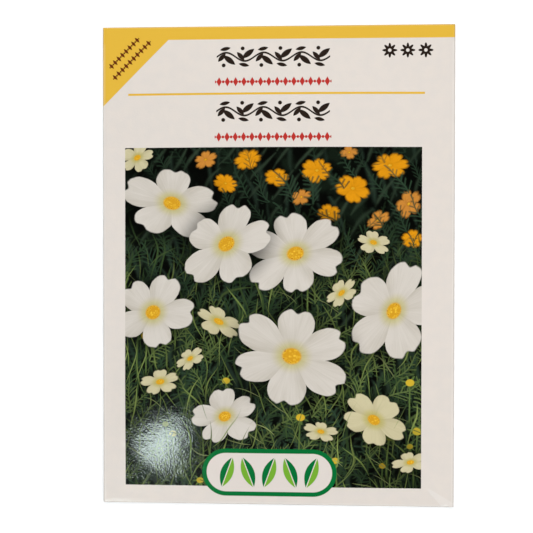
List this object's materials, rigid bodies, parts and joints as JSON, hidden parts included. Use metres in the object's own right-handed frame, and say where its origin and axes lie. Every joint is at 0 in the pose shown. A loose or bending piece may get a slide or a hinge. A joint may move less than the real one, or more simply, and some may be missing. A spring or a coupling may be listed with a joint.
{
  "type": "seed packet",
  "caption": "Sealed flat paper packet, folded from one printed sheet and glued shut, with loose slender flower seeds inside.",
  "frame": {"origin": "middle of the packet's outline, on the surface that its back lies on", "axes": "+X to the right of the printed front, +Y to its top edge, +Z out of the printed front"},
  "size_m": [0.083, 0.113, 0.0037],
  "materials": {
    "printed_paper": "satin",
    "gum": "satin",
    "seed": "matte"
  },
  "bodies": {
    "root": {"envelope": "printed_paper", "side_seam_glue": "gum", "top_flap_glue": "gum", "bottom_flap_glue": "gum", "seed_01": "seed", "seed_02": "seed", "seed_03": "seed", "seed_04": "seed", "seed_05": "seed", "seed_06": "seed", "seed_07": "seed", "seed_08": "seed", "seed_09": "seed", "seed_10": "seed", "seed_11": "seed", "seed_12": "seed", "seed_13": "seed", "seed_14": "seed", "seed_15": "seed", "seed_16": "seed", "seed_17": "seed", "seed_18": "seed", "seed_19": "seed", "seed_20": "seed", "seed_21": "seed", "seed_22": "seed", "seed_23": "seed", "seed_24": "seed", "seed_25": "seed", "seed_26": "seed", "seed_27": "seed", "seed_28": "seed", "seed_29": "seed", "seed_30": "seed", "seed_31": "seed", "seed_32": "seed", "seed_33": "seed", "seed_34": "seed", "seed_35": "seed", "seed_36": "seed", "seed_37": "seed", "seed_38": "seed", "seed_39": "seed", "seed_40": "seed", "seed_41": "seed", "seed_42": "seed", "seed_43": "seed", "seed_44": "seed", "seed_45": "seed", "seed_46": "seed", "seed_47": "seed", "seed_48": "seed"}
  },
  "joints": []
}
